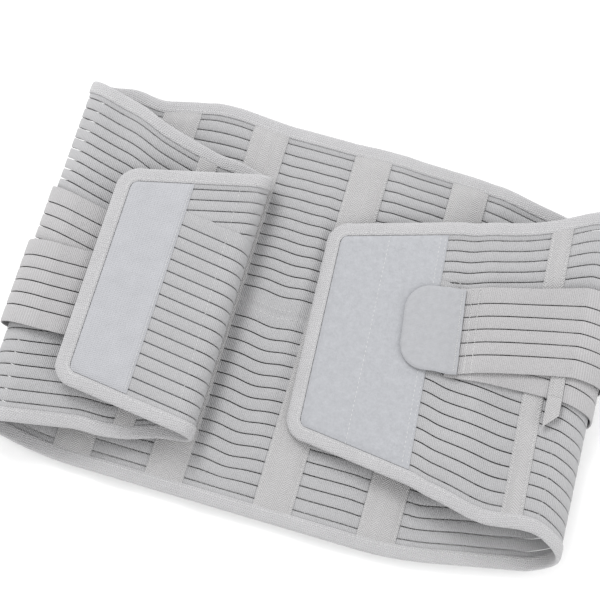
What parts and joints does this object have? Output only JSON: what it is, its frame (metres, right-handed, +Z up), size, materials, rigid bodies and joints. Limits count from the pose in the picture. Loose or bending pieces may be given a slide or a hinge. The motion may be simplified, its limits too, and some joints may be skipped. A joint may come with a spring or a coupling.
{
  "type": "lumbar support belt",
  "caption": "Wide elastic back support belt with slotted webbing, bound edges, stay tapes and double pull straps, lying folded with one end rolled back",
  "frame": {"origin": "on the ground under the middle of the folded belt, half way up its height; the centre of the back is 26.5 mm to its left", "axes": "+X along the back towards the right front as it lies with its inner face up, +Y up the belt's height, +Z up from the ground"},
  "size_m": [0.3827, 0.26, 0.0457],
  "materials": {
    "webbing": "light grey ribbed elastic webbing with open slots, matte",
    "binding": "light grey knitted edge binding, matte",
    "twill_tape": "light grey herringbone twill tape, matte",
    "stay": "flexible plastic strip inside a tape",
    "strap": "light grey slotted elastic strap, matte",
    "keeper": "narrow woven keeper tape, matte",
    "loop": "blue grey brushed loop fabric, felt like",
    "hook": "blue grey fine moulded hook tape",
    "tab": "smooth blue grey laminated fabric over hook tape"
  },
  "bodies": {
    "back": {"back_lower_webbing": "webbing", "back_upper_webbing": "webbing", "back_top_binding": "binding", "back_bottom_binding": "binding", "stay_tape_1": "twill_tape", "stay_1": "stay", "stay_tape_2": "twill_tape", "stay_2": "stay", "stay_tape_3": "twill_tape", "stay_3": "stay", "stay_tape_4": "twill_tape", "stay_4": "stay", "back_right_upper_strap": "strap", "back_right_lower_strap": "strap", "back_left_upper_strap": "strap", "back_left_lower_strap": "strap"},
    "right_fold": {"right_fold_lower_webbing": "webbing", "right_fold_top_binding": "binding", "right_fold_bottom_binding": "binding", "right_fold_upper_webbing": "webbing", "right_fold_upper_strap": "strap", "right_fold_lower_strap": "strap"},
    "right_front": {"right_front_lower_webbing": "webbing", "right_front_top_binding": "binding", "right_front_bottom_binding": "binding", "right_front_upper_webbing": "webbing", "right_end_binding": "binding", "right_side_tape": "twill_tape", "right_loop_panel": "loop", "right_keeper": "keeper", "right_front_upper_strap": "strap", "right_front_lower_strap": "strap"},
    "right_pull": {"right_pull_upper_strap": "strap", "right_pull_lower_strap": "strap", "right_pull_tab": "tab"},
    "left_fold": {"left_fold_lower_webbing": "webbing", "left_fold_top_binding": "binding", "left_fold_bottom_binding": "binding", "left_fold_upper_webbing": "webbing", "left_fold_upper_strap": "strap", "left_fold_lower_strap": "strap"},
    "left_front": {"left_front_lower_webbing": "webbing", "left_front_top_binding": "binding", "left_front_bottom_binding": "binding", "left_front_upper_webbing": "webbing", "left_side_tape": "twill_tape", "left_keeper": "keeper", "left_front_upper_strap": "strap", "left_front_lower_strap": "strap"},
    "left_end": {"left_end_lower_webbing": "webbing", "left_end_top_binding": "binding", "left_end_bottom_binding": "binding", "left_end_upper_webbing": "webbing", "left_end_binding": "binding", "left_loop_panel": "loop", "left_hook_panel": "hook", "left_end_upper_strap": "strap", "left_end_lower_strap": "strap", "left_pull_tab": "tab"}
  },
  "joints": [
    {"name": "right_fold_lower", "type": "hinge", "parent": "back", "child": "right_fold", "pos_m": [0.18551, 0.00274, 0.007], "axis": [-0.0314, 0.9995, 0], "range_deg": [0, 94.02]},
    {"name": "right_fold_upper", "type": "hinge", "parent": "right_fold", "child": "right_front", "pos_m": [0.18312, 0.00715, 0.0391], "axis": [-0.0314, 0.9995, 0], "range_deg": [0, 94.02]},
    {"name": "right_pull_lift", "type": "hinge", "parent": "right_front", "child": "right_pull", "pos_m": [0.13477, 0.00687, 0.03935], "axis": [-0.0628, 0.998, 0], "range_deg": [0, 100]},
    {"name": "left_fold_lower", "type": "hinge", "parent": "back", "child": "left_fold", "pos_m": [-0.18593, -0.00075, 0.00736], "axis": [0, -1, 0], "range_deg": [0, 96.59]},
    {"name": "left_fold_upper", "type": "hinge", "parent": "left_fold", "child": "left_front", "pos_m": [-0.18215, -0.00225, 0.04], "axis": [0, -1, 0], "range_deg": [0, 96.59]},
    {"name": "left_roll", "type": "hinge", "parent": "left_front", "child": "left_end", "pos_m": [-0.04959, -0.00444, 0.02146], "axis": [0, 1, 0], "range_deg": [0, 187]}
  ],
  "couplings": [
    {"joint": "right_fold_upper", "follows": "right_fold_lower", "ratio": 1},
    {"joint": "left_fold_upper", "follows": "left_fold_lower", "ratio": 1},
    {"joint": "left_roll", "follows": "left_fold_lower", "ratio": 1.936}
  ]
}
